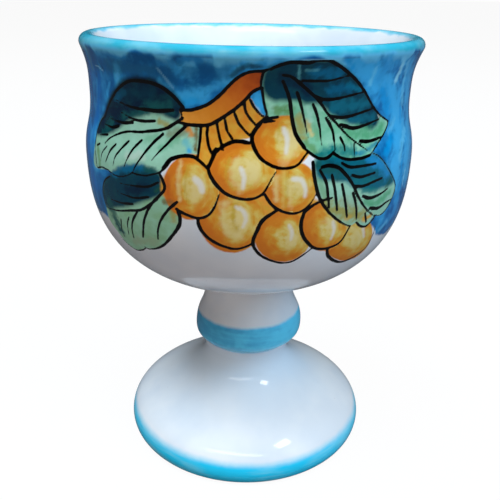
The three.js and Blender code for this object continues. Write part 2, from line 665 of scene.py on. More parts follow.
bareStrokes = [  # white glaze left bare as the grapes' highlights
    (1.7, 0.3, [(284, 129), (287, 139), (286, 153)]),
    (1.6, 0.3, [(241, 168), (244, 177), (243, 188)]),
    (1.5, 0.2, [(293, 179), (301, 180), (305, 187), (305, 196)]),
    (2.2, 0.2, [(195, 179), (200, 184), (202, 191)]),
    (1.4, 0.3, [(236, 207), (243, 211), (246, 219), (243, 227)]),
    (1.3, 0.3, [(289, 225), (292, 232), (291, 240)]),
    (1.3, 0.3, [(333, 222), (334, 230), (331, 239)]),
    (1.3, 0.3, [(363, 227), (364, 237)]),
]
stalkShape = [
    (180, 110), (190, 110), (200, 107.5), (210, 103), (220, 95), (230, 84.5), (240, 76), (250, 72),
    (263, 71.5), (261, 80), (260, 88), (252, 92.5), (245, 100), (235, 109), (222, 118), (210, 124.5),
    (200, 125.5), (188, 124.5), (178, 122), (181, 116),
]
stalkMiddle = [(180, 116), (200, 116), (217, 106), (232, 96), (246, 84), (262, 79)]
pedicelShape = [
    (202, 126), (217, 121), (235, 109), (249, 98), (258, 112), (268, 119), (262, 123), (252, 137),
    (233, 141), (222, 147), (214, 155), (207, 166), (199, 157),
]
# Each leaf has a pale wash over all of it and a dark wash on its upper side
leaves = {
    "leafUpperLeft": {
        "pale": [
            (183, 107), (166, 90), (145, 81.5), (133, 80.5), (117, 90), (107, 110), (100, 122),
            (95, 145), (95, 166), (108, 170), (121, 176.5), (132, 173), (145, 175.5), (159, 172.5),
            (171, 160), (184, 156), (196, 157), (200, 140), (200, 127), (188, 124.5), (178, 122),
            (182, 114),
        ],
        "dark": [
            (184, 106), (176, 95), (166, 86), (155, 79), (145, 76), (133, 75.5), (123, 79), (114, 88),
            (108, 100), (104, 112), (99, 124), (97, 135), (105, 135), (114, 132), (121, 127),
            (128, 121.5), (137, 116), (148, 113.5), (160, 114), (170, 118), (177, 121), (182, 114),
        ],
    },
    "leafLowerLeft": {
        "pale": [
            (106, 205), (103, 188), (110, 176), (130, 170), (158, 173), (164, 189), (166, 199),
            (174, 199), (178, 209), (180, 220), (172, 236), (158, 248), (146, 248), (138, 250),
            (128, 244), (119, 233), (110, 220),
        ],
        "dark": [
            (104, 181), (110, 174), (118, 168), (128, 165), (140, 165.5), (151, 168.5), (160, 175),
            (164, 188), (160, 195), (152, 199), (140, 203), (130, 206), (118, 207.5), (108, 208),
            (103, 195),
        ],
    },
    "leafUpperRight": {
        "pale": [
            (265, 72), (271, 68), (292, 62), (310, 61.5), (327, 59.5), (343, 68), (358, 82), (370, 101),
            (380, 115), (388, 122), (383, 135), (372, 152), (362, 158), (350, 159.5), (333, 153),
            (325, 158.5), (318, 158), (303, 147), (296, 134), (292, 117), (280, 116), (268, 119),
            (264, 103), (262, 88),
        ],
        "dark": [
            (265, 71), (271, 66), (292, 60), (310, 60), (327, 58), (344, 67), (359, 82), (371, 101),
            (378, 112), (379, 119), (376, 126), (370, 130), (358, 125), (345, 121), (333, 115),
            (324, 107), (316, 103.5), (306, 104), (298, 101), (284, 101), (272, 100), (264, 93),
            (262, 84),
        ],
    },
    "leafLowerRight": {
        "pale": [
            (313, 161), (314, 175), (317, 190), (327, 210), (343, 223.5), (350, 226), (356, 223),
            (361, 226.5), (367, 225), (374, 216), (382, 214), (391, 200), (395, 186), (388, 168),
            (380, 157), (372, 153), (362, 157), (350, 158), (333, 152), (325, 157),
        ],
        "dark": [
            (316, 160), (325, 157), (336, 154), (350, 157), (362, 157), (372, 153), (380, 157),
            (388, 168), (394, 180), (389, 186), (380, 189), (371, 191.5), (362, 190), (353, 187),
            (346, 182), (334, 181), (322, 181), (316, 174),
        ],
    },
}
outlineWidth = 0.95  # mm
heavyWidth = 1.15
veinWidth = 0.8
fineWidth = 0.55
grapeInk = [
    (heavyWidth, 0.5, [
        (262, 121), (252, 137), (258, 155), (270, 165), (283, 168.5), (297, 165.5), (307, 153),
    ]),
    (heavyWidth, 0.3, [(249, 143), (240, 141.5), (232, 142), (222, 147), (215, 153)]),
    (heavyWidth, 0.1, [(216, 149), (211, 162), (208, 168)]),
    (heavyWidth, 0.7, [
        (208, 168), (210, 175), (217, 186), (228, 195), (245, 199.5), (258, 197), (265, 191),
        (271, 180), (276, 172),
    ]),
    (outlineWidth, 0.6, [
        (264, 193), (270, 203), (279, 210), (291, 213.5), (301, 211.5), (310, 204), (317, 193),
    ]),
    (heavyWidth, 0.3, [(163, 168), (170, 160), (180, 156.5), (190, 156), (197, 159), (207, 168)]),
    (outlineWidth, 0.5, [(176, 209), (185, 214), (197, 218), (207, 216), (214, 208), (219, 195)]),
    (heavyWidth, 0.5, [
        (198, 218), (199, 226), (206, 236), (218, 244), (234, 249), (246, 246.5), (253, 243),
    ]),
    (heavyWidth, 0.6, [
        (276, 211), (263, 220), (257, 231), (253, 241), (255, 249), (263, 257), (278, 262.5),
        (290, 262), (300, 257), (311, 249),
    ]),
    (heavyWidth, 0.5, [
        (304, 213), (301, 224), (303, 236), (311, 246), (320, 249), (331, 247), (341, 241), (350, 226),
    ]),
    (outlineWidth, 0.3, [(303, 214), (312, 206), (322, 201), (332, 198)]),
    (heavyWidth, 0.8, [
        (327, 249), (328, 256), (335, 261), (343, 261.5), (355, 256), (366, 247), (373, 234),
        (376, 222),
    ]),
    (outlineWidth, 0.3, [(257, 126), (264, 120), (278, 117)]),
    (veinWidth, 0.4, [(264, 122), (275, 121)]),
]
stalkInk = [
    (outlineWidth, 0.1, [
        (180, 110), (190, 110), (200, 107.5), (210, 103), (220, 95), (230, 84.5), (240, 76), (250, 72),
        (263, 71),
    ]),
    (outlineWidth, 0.1, [
        (178, 122), (188, 124.5), (200, 125.5), (210, 124.5), (222, 118), (235, 109), (245, 100),
        (252, 92.5), (258, 89), (262, 88),
    ]),
    (veinWidth, 0.2, [(268, 69.5), (264, 71.5), (261.5, 80), (261, 88)]),
    (fineWidth, 0.2, [(180, 110), (182, 116), (179, 122)]),
    (veinWidth, 0.1, [(201, 126), (200, 140), (198, 157)]),
    (veinWidth, 0.1, [(208, 125), (207, 135), (209, 147), (213, 156)]),
    (veinWidth, 0.1, [(217, 123), (219, 135), (223, 150)]),
    (veinWidth, 0.2, [(225, 119), (227, 130), (233, 140)]),
    (veinWidth, 0.2, [(234, 111), (238, 122), (246, 132), (252, 137)]),
    (veinWidth, 0.2, [(244, 101), (246, 112), (252, 121), (258, 127)]),
    (veinWidth, 0.3, [(250, 99), (254, 107), (261, 115), (268, 119)]),
    (veinWidth, 0.3, [(262, 88), (264, 103), (268, 118)]),
]
leafInk = [
    # upper left leaf: rim, ribs and veins
    (heavyWidth, 0.5, [
        (183, 107), (175, 98), (166, 90), (155, 84), (145, 81.5), (133, 80.5), (125, 83), (117, 90),
        (111, 100), (107, 110), (105, 117),
    ]),
    (fineWidth, 0.2, [
        (105, 117), (101, 121), (97, 133), (95.5, 145), (96, 157), (97.5, 167), (102, 167), (108, 170),
        (114, 174.5), (121, 176.5), (128, 175), (132, 172.5),
    ]),
    (fineWidth, 0.1, [
        (132, 172.5), (137, 174.5), (145, 175.5), (152, 174.5), (159, 172.5), (165, 168),
    ]),
    (heavyWidth, 0.1, [(163, 169), (171, 159)]),
    (outlineWidth, 0.5, [
        (183, 118), (170, 126.5), (160, 130), (150, 131), (140, 132), (128, 131.5), (118, 134),
        (110, 138), (105, 143),
    ]),
    (outlineWidth, 0.7, [(187, 125.5), (178, 133), (168, 143), (158, 153), (151, 161)]),
    (heavyWidth, 0.7, [(173, 110), (160, 111), (145, 109.5), (130, 106.5), (116, 100)]),
    (outlineWidth, 0.7, [(155, 121), (143, 121), (132, 118.5), (121, 112)]),
    (outlineWidth, 0.7, [(133, 122.5), (122, 122.5), (110, 118)]),
    (outlineWidth, 0.7, [(119, 126), (112, 127), (105, 124)]),
    (veinWidth, 0.6, [(108, 134.5), (100, 134.5)]),
    (veinWidth, 0.4, [(100, 143.5), (97, 145)]),
    (outlineWidth, 0.6, [(163, 134), (153, 143), (143, 155), (136, 165), (133, 171)]),
    (veinWidth, 0.6, [(142, 140), (133, 149), (127, 159), (124, 167)]),
    (veinWidth, 0.6, [(129, 141), (121, 149), (115, 157), (113, 166)]),
    (veinWidth, 0.6, [(116, 144), (110, 151), (105.5, 162)]),
    (fineWidth, 0.5, [(107, 146), (102, 153), (100.5, 163)]),
    # lower left leaf
    (fineWidth, 0.3, [(110, 176), (105, 180), (103, 188), (104, 197), (106, 205), (108, 208)]),
    (outlineWidth, 0.2, [
        (159, 173), (163, 181), (164.5, 189), (160, 195), (153, 202), (148, 210), (144, 221),
        (143, 237),
    ]),
    (outlineWidth, 0.6, [(157, 199), (148, 206), (140, 210), (130, 210.5), (118, 210.5), (108, 208)]),
    (heavyWidth, 0.6, [
        (177, 209), (180, 218), (179, 226), (172, 236), (165, 244), (158, 248), (150, 249), (145, 247),
    ]),
    (fineWidth, 0.3, [(146, 248), (142, 250), (136, 249.5), (128, 244), (120, 236)]),
    (veinWidth, 0.7, [(158, 182.5), (148, 186.5), (135, 186), (120, 183)]),
    (veinWidth, 0.7, [(149, 197), (135, 198), (125, 195), (117, 191)]),
    (veinWidth, 0.7, [(133, 204), (122, 203), (111, 199)]),
    (outlineWidth, 0.4, [(177, 202), (168, 210), (161, 220), (158, 230), (158, 239)]),
    (veinWidth, 0.4, [(137, 212), (133, 220), (132, 229), (134, 238)]),
    (fineWidth, 0.4, [(129, 217), (127.5, 224), (129, 235)]),
    (fineWidth, 0.4, [(121, 219), (122, 230), (125, 237)]),
    # upper right leaf
    (heavyWidth, 0.5, [
        (271, 69), (280, 65), (292, 62), (303, 62.5), (310, 62.5), (318, 60), (327, 59.5), (335, 63),
        (343, 68), (350, 74), (358, 82), (365, 92), (370, 101), (374, 108), (380, 115), (388, 121),
    ]),
    (fineWidth, 0.2, [(388, 121), (387, 126), (383, 135), (378, 143), (373, 151), (370, 155)]),
    (outlineWidth, 0.1, [(370, 155), (362, 158), (350, 159.5), (342, 158), (336, 155), (333, 152.5)]),
    (outlineWidth, 0.2, [(333, 152.5), (330, 156), (325, 158.5), (318, 158), (310, 153), (303, 147)]),
    (heavyWidth, 0.3, [(305, 148), (297, 137), (293, 124), (291, 110), (289, 97), (283, 81)]),
    (outlineWidth, 0.5, [
        (283, 75), (292, 77), (302, 85), (312, 94), (320, 102), (328, 114), (337, 124), (347, 135),
        (357, 143), (367, 150),
    ]),
    (veinWidth, 0.5, [(302, 80.5), (315, 81), (330, 80.5), (340, 78), (349, 76)]),
    (outlineWidth, 0.5, [(313, 95), (322, 99), (335, 99), (350, 95.5), (364, 92)]),
    (outlineWidth, 0.5, [(330, 116), (343, 117.5), (357, 114), (374, 108)]),
    (heavyWidth, 0.6, [(341, 124.5), (353, 128), (365, 125), (379, 119)]),
    (heavyWidth, 0.6, [(360, 141), (370, 141), (383, 136)]),
    (outlineWidth, 0.7, [(297, 92), (301, 105), (304, 118), (308, 138)]),
    (outlineWidth, 0.6, [(313, 104), (317, 115), (320, 130), (321.5, 145)]),
    (outlineWidth, 0.5, [(326, 118), (332, 129), (334, 140), (335, 150)]),
    (veinWidth, 0.3, [(340, 137), (344, 145), (345, 151)]),
    (fineWidth, 0.3, [(354, 143), (354.5, 155)]),
    # lower right leaf
    (heavyWidth, 0.5, [
        (313, 162), (314, 175), (317, 190), (321, 201), (327, 210), (335, 218), (343, 223.5),
        (349, 226),
    ]),
    (veinWidth, 0.2, [(356, 222), (360, 226), (366, 226), (373, 219), (374, 216)]),
    (fineWidth, 0.2, [
        (372, 153), (380, 157), (388, 168), (394, 180), (395, 188), (391, 200), (386, 209), (380, 215),
        (374, 215),
    ]),
    (heavyWidth, 0.6, [
        (322, 167), (330, 165.5), (339, 168), (347, 176), (353, 185), (360, 200), (367, 210),
        (374, 216),
    ]),
    (outlineWidth, 0.3, [(342, 163), (350, 167), (362, 166), (376, 163.5)]),
    (outlineWidth, 0.3, [(352, 175), (360, 177), (368, 175), (375, 172.5)]),
    (outlineWidth, 0.3, [(354, 186), (363, 186), (373, 182), (382, 178)]),
    (heavyWidth, 0.6, [(363, 196), (370, 198), (380, 194), (388, 188)]),
    (heavyWidth, 0.6, [(370, 208), (378, 208), (385, 203), (391, 199)]),
    (outlineWidth, 0.2, [(320, 170), (326, 182), (328, 195), (329, 208)]),
    (outlineWidth, 0.2, [(332, 175), (335, 190), (337, 210)]),
    (outlineWidth, 0.2, [(342, 184), (345, 200), (347, 217)]),
    (outlineWidth, 0.3, [(353, 193), (356, 205), (356.5, 219)]),
    (veinWidth, 0.2, [(365, 213), (366, 222)]),
]
# Where the blue ground ends: degrees of turn from the front, and mm above the table
groundEdge = [
    (-180, 86), (-150, 84.5), (-120, 87), (-90, 85.5), (-70, 88), (-57, 89), (-48, 90), (-38, 100),
    (-15, 112), (15, 112), (30, 100), (40, 89), (46, 86.5), (57, 84.3), (70, 86), (95, 84.5), (125, 87),
    (155, 84.5), (180, 86),
]
# Single touches of the brush over a wash: paint, width in mm, strength, and the way of the stroke
groundTouches = [
    # left of the leaf
    ("cobalt", 12, 0.8, [(90, 62), (90, 100), (88, 140), (93, 186)]),
    ("cobalt", 5, 0.9, [(99, 76), (98, 110), (92, 140), (92, 170), (99, 192)]),
    ("cerulean", 1.6, 0.6, [(97, 78), (97, 98)]),
    ("sky", 1.6, 0.5, [(110, 82), (107, 94)]),
    ("cerulean", 2.4, 0.6, [(91, 118), (91, 150)]),
    ("denim", 3, 0.6, [(99, 192), (104, 208)]),
    ("slate", 4, 0.8, [(87, 48), (92, 66)]),
    ("soot", 1.2, 0.6, [(99, 62), (104, 70)]),
    # painted reflection: a thin pale streak of window light on the glaze
    ("foam", 0.7, 0.6, [(95, 65), (99, 67), (103, 71)]),
    # between the lip and the upper left leaf
    ("denim", 7, 0.8, [(108, 66), (150, 70), (168, 76)]),
    ("navy", 5, 0.9, [(131, 58), (150, 60)]),
    ("cerulean", 3.5, 0.6, [(104, 52), (122, 54)]),
    ("navy", 6, 0.8, [(162, 72), (176, 82)]),
    ("paleSky", 4.2, 0.7, [(163, 46), (164, 57)]),
    ("slate", 3, 0.4, [(160, 60), (172, 64)]),
    ("foam", 1.0, 0.3, [(157, 68), (166, 79), (173, 88)]),
    # over the stalk
    ("cerulean", 5, 0.7, [(184, 58), (210, 60)]),
    ("paleSky", 3, 0.5, [(206, 52), (211, 60)]),
    ("navy", 7, 0.85, [(186, 72), (222, 72)]),
    ("navy", 4, 0.7, [(188, 84), (206, 82)]),
    ("sky", 6, 0.8, [(184, 98), (202, 94)]),
    ("azure", 3, 0.6, [(184, 102), (196, 100)]),
    ("sky", 3.4, 0.6, [(203, 91), (218, 86)]),
    ("cerulean", 4, 0.8, [(224, 59), (240, 58)]),
    ("navy", 3, 0.5, [(226, 62), (236, 62)]),
    ("sky", 3, 0.8, [(246, 56), (264, 57)]),
    ("sky", 3, 0.8, [(270, 58), (296, 56)]),
    ("soot", 2.2, 0.85, [(233, 76), (240, 69), (250, 66), (262, 67)]),
    ("denim", 0.7, 0.7, [(187, 68), (178, 64), (173, 57), (174, 51), (181, 48)]),
    ("denim", 0.6, 0.6, [(216, 58), (219, 53), (226, 51), (240, 51)]),
    ("denim", 0.6, 0.5, [(246, 56), (251, 53), (264, 52)]),
    ("sky", 4, 0.8, [(256, 96), (260, 108)]),
    # right of the leaves
    ("sky", 14, 0.9, [(352, 62), (392, 92), (398, 140), (394, 178)]),
    ("sky", 12, 0.85, [(409, 64), (407, 100), (408, 140), (405, 176)]),
    ("foam", 3.2, 0.7, [(304, 54), (340, 54)]),
    ("azure", 3.4, 0.7, [(348, 56), (352, 68)]),
    ("cerulean", 1.6, 0.5, [(364, 66), (370, 58)]),
    ("cerulean", 5, 0.6, [(380, 78), (388, 62)]),
    ("paleSky", 2.2, 0.7, [(370, 84), (376, 68)]),
    # painted reflection: a pale streak of window light on the glaze at the right
    ("foam", 3.0, 0.8, [(396, 80), (401, 68), (405, 58)]),
    ("paleSky", 3, 0.6, [(408, 62), (403, 86), (402, 104)]),
    ("azure", 6, 0.85, [(383, 93), (388, 110)]),
    ("azure", 2.4, 0.8, [(400, 107), (400, 121)]),
    ("paleSky", 3, 0.5, [(394, 120), (389, 132)]),
    ("azure", 5, 0.9, [(391, 138), (386, 154)]),
    ("paleSky", 4, 0.6, [(404, 130), (400, 158)]),
    ("azure", 2.6, 0.8, [(402, 162), (400, 188)]),
    ("foam", 1.6, 0.6, [(405, 170), (402, 186)]),
    ("cerulean", 5, 0.85, [(399, 190), (394, 212), (384, 224)]),
    ("azure", 2.5, 0.6, [(399, 188), (397, 198)]),
    ("paleSky", 2.6, 0.6, [(379, 230), (386, 222)]),
]
leafTouches = [
    # upper left
    ("bottle", 5, 0.8, [(148, 105), (170, 108)]),
    ("teal", 3, 0.5, [(116, 98), (124, 92)]),
    ("petrol", 6, 0.6, [(124, 92), (150, 94)]),
    ("bottle", 4, 0.8, [(124, 116), (146, 112)]),
    ("bottle", 4.5, 0.8, [(103, 132), (112, 124)]),
    ("mint", 2.4, 0.5, [(98, 140), (108, 142)]),
    ("fern", 2.6, 0.8, [(98, 146), (100, 166)]),
    ("paleMint", 5, 0.7, [(134, 126), (150, 124)]),
    ("paleMint", 6, 0.6, [(112, 154), (142, 152)]),
    ("olive", 2.6, 0.9, [(160, 121), (168, 125)]),
    ("khaki", 3.4, 0.6, [(170, 134), (185, 131)]),
    ("jade", 3, 0.4, [(146, 140), (156, 138)]),
    ("bare", 4, 0.3, [(128, 156), (142, 156)]),
    ("amber", 2.6, 0.9, [(188, 128), (192, 134)]),
    ("jade", 4, 0.5, [(162, 148), (176, 140)]),
    ("glass", 3, 0.8, [(186, 143), (189, 152)]),
    ("azure", 1.6, 0.7, [(188, 149), (190, 152)]),
    ("khaki", 2, 0.9, [(196, 128), (196, 150)]),
    # lower left
    ("teal", 3.2, 0.9, [(114, 174), (124, 169), (142, 167)]),
    ("bottle", 3, 0.8, [(146, 169), (156, 173)]),
    ("petrol", 5, 0.8, [(110, 182), (112, 194)]),
    ("night", 5, 0.8, [(128, 191), (142, 188), (146, 182)]),
    ("petrol", 4, 0.7, [(146, 180), (156, 178)]),
    ("pine", 2.4, 0.7, [(156, 192), (162, 186)]),
    ("bottle", 5.5, 0.9, [(110, 204), (115, 218), (121, 230)]),
    ("moss", 5, 0.6, [(134, 240), (156, 242)]),
    ("mint", 4, 0.6, [(155, 210), (164, 206)]),
    ("khaki", 2.4, 0.9, [(164, 201), (172, 203)]),
    ("olive", 3, 0.95, [(172, 211), (174, 220)]),
    # upper right
    ("night", 5, 0.8, [(284, 78), (300, 84), (308, 92)]),
    ("teal", 4.5, 0.9, [(314, 73), (338, 73)]),
    ("glass", 1.6, 0.6, [(299.5, 66), (299, 78)]),
    ("glass", 1.2, 0.35, [(306, 70), (318, 70)]),
    ("teal", 5, 0.7, [(330, 90), (350, 88)]),
    ("lagoon", 2.6, 0.6, [(348, 85), (360, 90)]),
    ("spruce", 5, 0.95, [(334, 107), (366, 104)]),
    ("spruce", 4, 0.9, [(350, 120), (372, 117)]),
    ("paleMint", 3, 0.8, [(270, 104), (274, 110)]),
    ("fern", 4.5, 0.85, [(277, 111), (290, 111)]),
    ("olive", 4, 0.9, [(298, 118), (302, 136)]),
    ("gold", 2.2, 0.6, [(308, 122), (310, 130)]),
    ("paleMint", 2.4, 0.8, [(307, 108), (311, 120)]),
    ("fern", 3, 0.8, [(306, 144), (317, 153)]),
    ("cream", 1.8, 0.8, [(310, 130), (312, 135)]),
    ("fern", 2.4, 0.4, [(314, 126), (318, 138)]),
    ("jade", 6, 0.8, [(348, 134), (368, 134)]),
    ("jade", 3.4, 0.9, [(376, 134), (382, 126)]),
    ("sea", 5, 0.9, [(338, 151), (354, 153)]),
    ("lagoon", 2.6, 0.8, [(357, 153), (366, 151), (376, 143)]),
    ("sea", 4.4, 0.9, [(318, 156), (331, 151)]),
    ("bare", 0.9, 1.0, [(378, 114), (379, 117)]),
    # lower right
    ("pine", 3, 0.7, [(318, 164), (322, 172)]),
    ("petrol", 3, 0.6, [(330, 163), (342, 172)]),
    ("cerulean", 5, 0.6, [(371, 160), (380, 164), (387, 174)]),
    ("sea", 3, 0.5, [(356, 182), (374, 181)]),
    ("sea", 3, 0.8, [(364, 190), (376, 190)]),
    ("pine", 2.4, 0.7, [(386, 187), (390, 181)]),
    ("jade", 3.6, 0.8, [(366, 202), (378, 202), (389, 192)]),
    ("mint", 3, 0.6, [(372, 212), (382, 210)]),
    ("paleMint", 3.4, 0.6, [(330, 186), (342, 192)]),
    ("bottle", 6, 0.85, [(319, 166), (338, 172)]),
    ("fern", 3.4, 0.5, [(320, 182), (326, 198)]),
    ("moss", 5, 0.7, [(344, 202), (356, 207)]),
    ("olive", 6.5, 1.0, [(326, 207), (344, 213), (360, 216)]),
    ("gold", 2.4, 0.5, [(345, 220), (350, 217)]),
    ("gold", 3.4, 0.9, [(364, 219), (370, 216)]),
]
grapeTouches = [
    # left of the bunch
    ("khaki", 2.4, 0.8, [(163, 201), (171, 202)]),
    ("rust", 3.4, 0.7, [(166, 176), (168, 198)]),
    ("cream", 2.2, 0.9, [(181, 161), (178, 182), (180, 200)]),
    ("mustard", 1.6, 0.7, [(188, 166), (185, 186), (189, 203)]),
    ("cream", 4.5, 0.9, [(195, 182), (194, 198)]),
    ("amber", 3.4, 0.7, [(196, 210), (208, 196)]),
    ("orange", 3.4, 0.6, [(213, 160), (216, 180), (228, 192)]),
    ("cream", 4, 0.8, [(237, 161), (233, 176), (240, 188)]),
    ("mustard", 1.4, 0.6, [(230, 158), (226, 175), (233, 190)]),
    ("cream", 3.6, 0.7, [(254, 162), (255, 180)]),
    ("cream", 4, 0.9, [(224, 204), (223, 220), (229, 233), (241, 237)]),
    ("mustard", 2, 0.8, [(235, 205), (233, 220), (237, 230)]),
    ("orange", 4, 0.6, [(208, 222), (214, 236), (230, 244)]),
    # right of it
    ("orange", 3.4, 0.7, [(262, 127), (257, 142)]),
    ("amber", 3, 0.6, [(272, 130), (271, 146)]),
    ("cream", 5, 0.8, [(293, 131), (294, 149), (284, 159)]),
    ("mustard", 1.4, 0.5, [(280, 123), (277, 142)]),
    ("cream", 2.6, 0.8, [(276, 177), (276, 200)]),
    ("butter", 2.6, 0.8, [(284, 172), (283, 206)]),
    ("cream", 2.6, 0.7, [(291, 182), (290, 206)]),
    ("mustard", 1.2, 0.6, [(287, 172), (286, 208)]),
    ("amber", 2.6, 0.8, [(311, 188), (302, 207)]),
    ("orange", 6, 0.6, [(262, 232), (262, 246), (275, 257), (294, 256)]),
    ("amber", 4, 0.6, [(268, 222), (284, 217)]),
    ("orange", 5, 0.7, [(310, 220), (308, 236), (317, 246)]),
    ("amber", 3, 0.7, [(322, 206), (324, 222)]),
    ("gold", 1.6, 0.6, [(317, 212), (320, 240)]),
    ("amber", 6, 0.7, [(335, 252), (350, 252)]),
    ("butter", 2.6, 0.5, [(354, 230), (357, 242)]),
]


# Puts values for each vertex on the mesh, for the material to read
def storeField(mesh, name, kind, values):
    member = {"FLOAT": "value", "FLOAT_VECTOR": "vector", "FLOAT_COLOR": "color"}[kind]
    field = mesh.attributes.new(name, kind, "POINT")
    field.data.foreach_set(member, np.asarray(values, np.float32).ravel())


# Smooth unevenness from -1 to 1, a few mm wide
def uneven(places):
    across, up = flatten(places, (0, outerRun[-1])).T
    wide = np.sin(1.1 * across + 1.9 * np.sin(0.8 * up)) * np.sin(1.4 * up + 1.7 * np.sin(0.9 * across))
    fine = np.sin(2.9 * across + 2.2 * np.sin(1.7 * up)) * np.sin(3.3 * up + 2 * np.sin(2.1 * across))
    return 0.65 * wide + 0.35 * fine


# Colours of touches laid over one another, with how much of the wash they hide
def touchField(places, touches, soft=0.9, ragged=0.4):
    colour = np.zeros((len(places), 4))
    rough = uneven(places) * ragged
    for name, width, strength, points in touches:
        near, gap = alongStroke(places, points)[:2]
        weight = np.clip((1 + rough[near] - gap / (width / 2)) / soft, 0, 1)
        weight = (weight * weight * (3 - 2 * weight) * strength)[:, None]
        under = colour[near]
        colour[near, :3] = under[:, :3] * (1 - weight) + np.array(mixed(name)[:3]) * weight
        colour[near, 3:] = 1 - (1 - under[:, 3:]) * (1 - weight)
    colour[:, :3] /= np.maximum(colour[:, 3:], 1e-6)
    return colour


def paintBowl(mesh):
    count = len(mesh.vertices)
    spots = np.empty(count * 3, np.float32)
    mesh.vertices.foreach_get("co", spots)
    spots = spots.reshape(-1, 3)
    run = np.empty(count, np.float32)
    mesh.attributes["run"].data.foreach_get("value", run)
    turn = np.arctan2(spots[:, 0], -spots[:, 1])
    wall = (run > outerRun[0]) & (run <= outerRun[-1])
    front = wall & (np.abs(turn) < math.radians(bowlSizes["frontArc"][1]))
    places = np.column_stack([turn, run])[front]

    def store(name, kind, values, default):
        full = np.empty((count, np.shape(default)[0] if np.ndim(default) else 1))
        full[:] = default
        full[front] = np.reshape(values, (len(places), -1))
        storeField(mesh, name, kind, full)

    ground = spots[:, 2] / mm - np.interp(np.degrees(turn), *np.transpose(groundEdge))
    ground[front] = np.minimum(ground[front], -shapeField(places, reservedShape))
    storeField(mesh, "ground", "FLOAT", ground)
    store("ink", "FLOAT", strokeField(places, grapeInk + stalkInk + leafInk), farAway)
    store("bare", "FLOAT", strokeField(places, bareStrokes), farAway)
    bunch = np.zeros((len(places), 3))
    bunch[:, 2] = -farAway
    for grape in grapes:
        offsets, size = discOffsets(places, *grape)
        depth = (1 - np.linalg.norm(offsets, axis=1)) * size
        onTop = (depth > 0) | (depth > bunch[:, 2])
        onTop &= np.abs(offsets).max(1) < 3
        bunch[onTop] = np.column_stack([offsets, depth])[onTop]
    store("between", "FLOAT", shapeField(places, betweenShape), -farAway)
    store("grape", "FLOAT_VECTOR", bunch, (0, 0, -farAway))
    for name, washes in leaves.items():
        store(name + "Pale", "FLOAT", shapeField(places, washes["pale"]), -farAway)
        store(name + "Dark", "FLOAT", shapeField(places, washes["dark"]), -farAway)
    near, _, share = alongStroke(places, stalkMiddle)
    along = np.zeros(len(places))
    along[near] = share
    stalk = np.column_stack([shapeField(places, stalkShape), shapeField(places, pedicelShape), along])
    store("stalk", "FLOAT_VECTOR", stalk, (-farAway, -farAway, 0))
    store("grapeTouch", "FLOAT_COLOR", touchField(places, grapeTouches, 1.2), (0, 0, 0, 0))
    store("leafTouch", "FLOAT_COLOR", touchField(places, leafTouches), (0, 0, 0, 0))
    store("groundTouch", "FLOAT_COLOR", touchField(places, groundTouches), (0, 0, 0, 0))
    print("bowl painted,", len(places), "vertices under the brush")


bowlGlaze = {
    "groundStops": [(0.0, "06589A"), (0.4, "1478BC"), (0.75, "2E9EDC"), (1.0, "5ABEEE")],
    "dabWidth": 5,  # mm
    "dabHeight": 9,  # mm
    "lipStart": 1.3,  # mm up from where the lip starts to roll
    "lipEnd": 6.3,  # over the top, to the lip's inner edge
    "paleReach": 0.4,  # mm that the pale ring goes down from the lip
    "paleShare": 0.8,
    "inkRoughness": 0.06,  # more than the glaze's
    "inkRelief": 0.15,  # share of the ripple's depth
    "grapeStops": [(0.0, "cream"), (0.25, "butter"), (0.5, "gold"), (0.75, "amber"), (1.0, "orange")],
    "stalkStops": [(0.0, "apricot"), (0.3, "amber"), (0.55, "orange"), (0.8, "rust"), (1.0, "bark")],
    "leafPaints": {  # pale wash, dark wash
        "leafUpperLeft": ("mint", "night"),
        "leafLowerLeft": ("sage", "petrol"),
        "leafUpperRight": ("leafGreen", "petrol"),
        "leafLowerRight": ("mint", "spruce"),
    },
}


